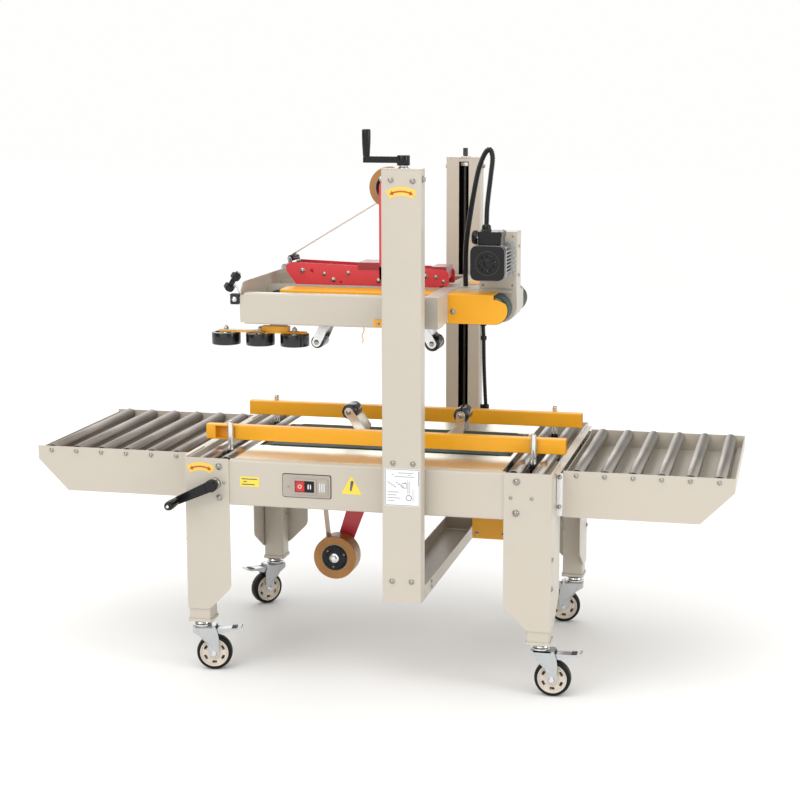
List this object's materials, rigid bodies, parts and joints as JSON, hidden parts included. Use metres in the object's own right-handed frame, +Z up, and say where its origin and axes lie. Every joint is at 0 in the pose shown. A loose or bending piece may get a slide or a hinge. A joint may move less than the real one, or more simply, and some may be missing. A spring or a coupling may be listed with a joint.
{
  "type": "carton sealer",
  "caption": "Semi-automatic carton taping machine with belt drive above and below, height-adjustable head, side rails and roller tables.",
  "frame": {"origin": "on the floor, under the middle of the machine's outline", "axes": "+X along the cartons' travel, -Y the operator's side, +Z up"},
  "size_m": [1.956, 0.912, 1.5064],
  "materials": {
    "cream_paint": "semi-gloss",
    "gold_paint": "semi-gloss",
    "red_paint": "semi-gloss",
    "stainless": "brushed",
    "zinc": "zinc plated",
    "black_plastic": "matte",
    "black_metal": "matte",
    "red_plastic": "gloss",
    "tyre": "matte",
    "belt": "matte",
    "tape": "gloss"
  },
  "bodies": {
    "frame": {"bed_frame": "cream_paint", "deck_plate": "stainless", "table_frame_left": "cream_paint", "table_frame_right": "cream_paint", "column_near": "cream_paint", "column_far_with_tie": "cream_paint", "lower_belt_near": "belt", "lower_belt_far": "belt", "tape_head_lower": "red_paint"},
    "head": {"head_frame": "cream_paint", "belt_guard_near": "gold_paint", "drive_motor": "black_metal", "motor_conduit": "black_plastic", "upper_belt_near": "belt", "upper_belt_far": "belt", "tape_head_upper": "red_paint"},
    "lift_screw_near": {"lift_screw_near": "zinc", "lift_crank": "black_metal"},
    "lift_screw_far": {"lift_screw_far": "zinc"},
    "lift_crank_grip": {"lift_crank_grip": "black_plastic"},
    "width_crank": {"width_crank": "black_metal"},
    "side_rail_near": {"side_rail_near": "gold_paint"},
    "side_rail_far": {"side_rail_far": "gold_paint"},
    "tape_roll_upper": {"tape_roll_upper": "tape"},
    "tape_roll_lower": {"tape_roll_lower": "tape"},
    "upper_front_arm": {"upper_front_arm": "zinc"},
    "upper_rear_arm": {"upper_rear_arm": "zinc"},
    "lower_front_arm": {"lower_front_arm": "zinc"},
    "lower_rear_arm": {"lower_rear_arm": "zinc"},
    "start_button": {"start_button": "black_plastic"},
    "stop_button": {"stop_button": "red_plastic"},
    "press_roller_1": {"press_roller_1": "tyre"},
    "press_roller_2": {"press_roller_2": "tyre"},
    "press_roller_3": {"press_roller_3": "tyre"},
    "table_roller_left_1": {"table_roller_left_1": "zinc"},
    "table_roller_left_2": {"table_roller_left_2": "zinc"},
    "table_roller_left_3": {"table_roller_left_3": "zinc"},
    "table_roller_left_4": {"table_roller_left_4": "zinc"},
    "table_roller_left_5": {"table_roller_left_5": "zinc"},
    "table_roller_left_6": {"table_roller_left_6": "zinc"},
    "bed_roller_left": {"bed_roller_left": "zinc"},
    "table_roller_right_1": {"table_roller_right_1": "zinc"},
    "table_roller_right_2": {"table_roller_right_2": "zinc"},
    "table_roller_right_3": {"table_roller_right_3": "zinc"},
    "table_roller_right_4": {"table_roller_right_4": "zinc"},
    "table_roller_right_5": {"table_roller_right_5": "zinc"},
    "table_roller_right_6": {"table_roller_right_6": "zinc"},
    "bed_roller_right": {"bed_roller_right": "zinc"},
    "caster_near_left": {"caster_fork_near_left": "zinc"},
    "caster_wheel_near_left": {"caster_wheel_near_left": "tyre"},
    "brake_pedal_near_left": {"brake_pedal_near_left": "zinc"},
    "caster_near_right": {"caster_fork_near_right": "zinc"},
    "caster_wheel_near_right": {"caster_wheel_near_right": "tyre"},
    "brake_pedal_near_right": {"brake_pedal_near_right": "zinc"},
    "caster_far_left": {"caster_fork_far_left": "zinc"},
    "caster_wheel_far_left": {"caster_wheel_far_left": "tyre"},
    "brake_pedal_far_left": {"brake_pedal_far_left": "zinc"},
    "caster_far_right": {"caster_fork_far_right": "zinc"},
    "caster_wheel_far_right": {"caster_wheel_far_right": "tyre"},
    "brake_pedal_far_right": {"brake_pedal_far_right": "zinc"}
  },
  "joints": [
    {"name": "head_lift", "type": "slide", "parent": "frame", "child": "head", "axis": [0, 0, 1], "range_m": [-0.15, 0.15]},
    {"name": "lift_screw_near_turn", "type": "hinge", "parent": "frame", "child": "lift_screw_near", "pos_m": [0.118, -0.374, 1.4], "axis": [0, 0, 1], "range_deg": [-5500, 5500]},
    {"name": "lift_screw_far_turn", "type": "hinge", "parent": "frame", "child": "lift_screw_far", "pos_m": [0.118, 0.432, 1.4], "axis": [0, 0, 1], "range_deg": [-5500, 5500]},
    {"name": "lift_crank_grip_spin", "type": "hinge", "parent": "lift_screw_near", "child": "lift_crank_grip", "pos_m": [0.02, -0.374, 1.46], "axis": [0, 0, 1], "continuous": true},
    {"name": "side_rail_near_slide", "type": "slide", "parent": "frame", "child": "side_rail_near", "axis": [0, 1, 0], "range_m": [-0.07, 0.085]},
    {"name": "side_rail_far_slide", "type": "slide", "parent": "frame", "child": "side_rail_far", "axis": [0, 1, 0], "range_m": [-0.086, 0.071]},
    {"name": "width_crank_turn", "type": "hinge", "parent": "frame", "child": "width_crank", "pos_m": [-0.421, -0.371, 0.545], "axis": [0, 1, 0], "range_deg": [-1600, 1300]},
    {"name": "upper_tape_roll_spin", "type": "hinge", "parent": "head", "child": "tape_roll_upper", "pos_m": [-0.012, 0.029, 1.337], "axis": [0, 1, 0], "continuous": true},
    {"name": "lower_tape_roll_spin", "type": "hinge", "parent": "frame", "child": "tape_roll_lower", "pos_m": [-0.18, 0.029, 0.257], "axis": [0, 1, 0], "continuous": true},
    {"name": "upper_front_arm_swing", "type": "hinge", "parent": "head", "child": "upper_front_arm", "pos_m": [-0.207, 0.029, 1.063], "axis": [0, 1, 0], "range_deg": [-72, 0], "stiffness_Nm_per_rad": 2.5, "springref_deg": 45.84},
    {"name": "upper_rear_arm_swing", "type": "hinge", "parent": "head", "child": "upper_rear_arm", "pos_m": [-0.014, 0.029, 1.037], "axis": [0, 1, 0], "range_deg": [-39.6, 0], "stiffness_Nm_per_rad": 2.5, "springref_deg": 45.84},
    {"name": "lower_front_arm_swing", "type": "hinge", "parent": "frame", "child": "lower_front_arm", "pos_m": [-0.125, 0.029, 0.53], "axis": [0, 1, 0], "range_deg": [0, 72], "stiffness_Nm_per_rad": 4, "springref_deg": -51.57},
    {"name": "lower_rear_arm_swing", "type": "hinge", "parent": "frame", "child": "lower_rear_arm", "pos_m": [0.07, 0.029, 0.56], "axis": [0, 1, 0], "range_deg": [0, 39.6], "stiffness_Nm_per_rad": 5, "springref_deg": -57.3},
    {"name": "stop_button_press", "type": "slide", "parent": "frame", "child": "stop_button", "axis": [0, 1, 0], "range_m": [0, 0.003], "stiffness_N_per_m": 400, "springref_m": -0.002},
    {"name": "start_button_press", "type": "slide", "parent": "frame", "child": "start_button", "axis": [0, 1, 0], "range_m": [0, 0.003], "stiffness_N_per_m": 400, "springref_m": -0.002},
    {"name": "press_roller_1_spin", "type": "hinge", "parent": "head", "child": "press_roller_1", "pos_m": [-0.428, -0.206, 0.93], "axis": [0, 0, 1], "continuous": true},
    {"name": "press_roller_2_spin", "type": "hinge", "parent": "head", "child": "press_roller_2", "pos_m": [-0.329, -0.206, 0.93], "axis": [0, 0, 1], "continuous": true},
    {"name": "press_roller_3_spin", "type": "hinge", "parent": "head", "child": "press_roller_3", "pos_m": [-0.23, -0.206, 0.93], "axis": [0, 0, 1], "continuous": true},
    {"name": "table_roller_left_1_spin", "type": "hinge", "parent": "frame", "child": "table_roller_left_1", "pos_m": [-0.562, 0.029, 0.598], "axis": [0, 1, 0], "continuous": true},
    {"name": "table_roller_left_2_spin", "type": "hinge", "parent": "frame", "child": "table_roller_left_2", "pos_m": [-0.637, 0.029, 0.598], "axis": [0, 1, 0], "continuous": true},
    {"name": "table_roller_left_3_spin", "type": "hinge", "parent": "frame", "child": "table_roller_left_3", "pos_m": [-0.712, 0.029, 0.598], "axis": [0, 1, 0], "continuous": true},
    {"name": "table_roller_left_4_spin", "type": "hinge", "parent": "frame", "child": "table_roller_left_4", "pos_m": [-0.787, 0.029, 0.598], "axis": [0, 1, 0], "continuous": true},
    {"name": "table_roller_left_5_spin", "type": "hinge", "parent": "frame", "child": "table_roller_left_5", "pos_m": [-0.862, 0.029, 0.598], "axis": [0, 1, 0], "continuous": true},
    {"name": "table_roller_left_6_spin", "type": "hinge", "parent": "frame", "child": "table_roller_left_6", "pos_m": [-0.937, 0.029, 0.598], "axis": [0, 1, 0], "continuous": true},
    {"name": "bed_roller_left_spin", "type": "hinge", "parent": "frame", "child": "bed_roller_left", "pos_m": [-0.462, 0.029, 0.598], "axis": [0, 1, 0], "continuous": true},
    {"name": "table_roller_right_1_spin", "type": "hinge", "parent": "frame", "child": "table_roller_right_1", "pos_m": [0.562, 0.029, 0.598], "axis": [0, 1, 0], "continuous": true},
    {"name": "table_roller_right_2_spin", "type": "hinge", "parent": "frame", "child": "table_roller_right_2", "pos_m": [0.637, 0.029, 0.598], "axis": [0, 1, 0], "continuous": true},
    {"name": "table_roller_right_3_spin", "type": "hinge", "parent": "frame", "child": "table_roller_right_3", "pos_m": [0.712, 0.029, 0.598], "axis": [0, 1, 0], "continuous": true},
    {"name": "table_roller_right_4_spin", "type": "hinge", "parent": "frame", "child": "table_roller_right_4", "pos_m": [0.787, 0.029, 0.598], "axis": [0, 1, 0], "continuous": true},
    {"name": "table_roller_right_5_spin", "type": "hinge", "parent": "frame", "child": "table_roller_right_5", "pos_m": [0.862, 0.029, 0.598], "axis": [0, 1, 0], "continuous": true},
    {"name": "table_roller_right_6_spin", "type": "hinge", "parent": "frame", "child": "table_roller_right_6", "pos_m": [0.937, 0.029, 0.598], "axis": [0, 1, 0], "continuous": true},
    {"name": "bed_roller_right_spin", "type": "hinge", "parent": "frame", "child": "bed_roller_right", "pos_m": [0.462, 0.029, 0.598], "axis": [0, 1, 0], "continuous": true},
    {"name": "caster_swivel_near_left", "type": "hinge", "parent": "frame", "child": "caster_near_left", "pos_m": [-0.48, -0.307, 0.13], "axis": [0, 0, 1], "continuous": true},
    {"name": "caster_wheel_spin_near_left", "type": "hinge", "parent": "caster_near_left", "child": "caster_wheel_near_left", "pos_m": [-0.44772, -0.30014, 0.05], "axis": [-0.2079, 0.9781, 0], "continuous": true},
    {"name": "brake_pedal_press_near_left", "type": "hinge", "parent": "caster_near_left", "child": "brake_pedal_near_left", "pos_m": [-0.43696, -0.29785, 0.113], "axis": [-0.2079, 0.9781, 0], "range_deg": [-8, 8]},
    {"name": "caster_swivel_near_right", "type": "hinge", "parent": "frame", "child": "caster_near_right", "pos_m": [0.48, -0.307, 0.13], "axis": [0, 0, 1], "continuous": true},
    {"name": "caster_wheel_spin_near_right", "type": "hinge", "parent": "caster_near_right", "child": "caster_wheel_near_right", "pos_m": [0.513, -0.307, 0.05], "axis": [0, 1, 0], "continuous": true},
    {"name": "brake_pedal_press_near_right", "type": "hinge", "parent": "caster_near_right", "child": "brake_pedal_near_right", "pos_m": [0.524, -0.307, 0.113], "axis": [0, 1, 0], "range_deg": [-8, 8]},
    {"name": "caster_swivel_far_left", "type": "hinge", "parent": "frame", "child": "caster_far_left", "pos_m": [-0.48, 0.365, 0.13], "axis": [0, 0, 1], "continuous": true},
    {"name": "caster_wheel_spin_far_left", "type": "hinge", "parent": "caster_far_left", "child": "caster_wheel_far_left", "pos_m": [-0.50208, 0.34048, 0.05], "axis": [0.7431, -0.6691, 0], "continuous": true},
    {"name": "brake_pedal_press_far_left", "type": "hinge", "parent": "caster_far_left", "child": "brake_pedal_far_left", "pos_m": [-0.50944, 0.3323, 0.113], "axis": [0.7431, -0.6691, 0], "range_deg": [-8, 8]},
    {"name": "caster_swivel_far_right", "type": "hinge", "parent": "frame", "child": "caster_far_right", "pos_m": [0.48, 0.365, 0.13], "axis": [0, 0, 1], "continuous": true},
    {"name": "caster_wheel_spin_far_right", "type": "hinge", "parent": "caster_far_right", "child": "caster_wheel_far_right", "pos_m": [0.44732, 0.36041, 0.05], "axis": [0.1392, -0.9903, 0], "continuous": true},
    {"name": "brake_pedal_press_far_right", "type": "hinge", "parent": "caster_far_right", "child": "brake_pedal_far_right", "pos_m": [0.43643, 0.35888, 0.113], "axis": [0.1392, -0.9903, 0], "range_deg": [-8, 8]}
  ],
  "couplings": [
    {"joint": "lift_screw_near_turn", "follows": "head_lift", "rad_per_m": 628.32},
    {"joint": "lift_screw_far_turn", "follows": "head_lift", "rad_per_m": 628.32},
    {"joint": "side_rail_far_slide", "follows": "side_rail_near_slide", "ratio": -1},
    {"joint": "width_crank_turn", "follows": "side_rail_near_slide", "rad_per_m": -251.33},
    {"joint": "upper_rear_arm_swing", "follows": "upper_front_arm_swing", "ratio": 0.55},
    {"joint": "lower_rear_arm_swing", "follows": "lower_front_arm_swing", "ratio": 0.55}
  ]
}
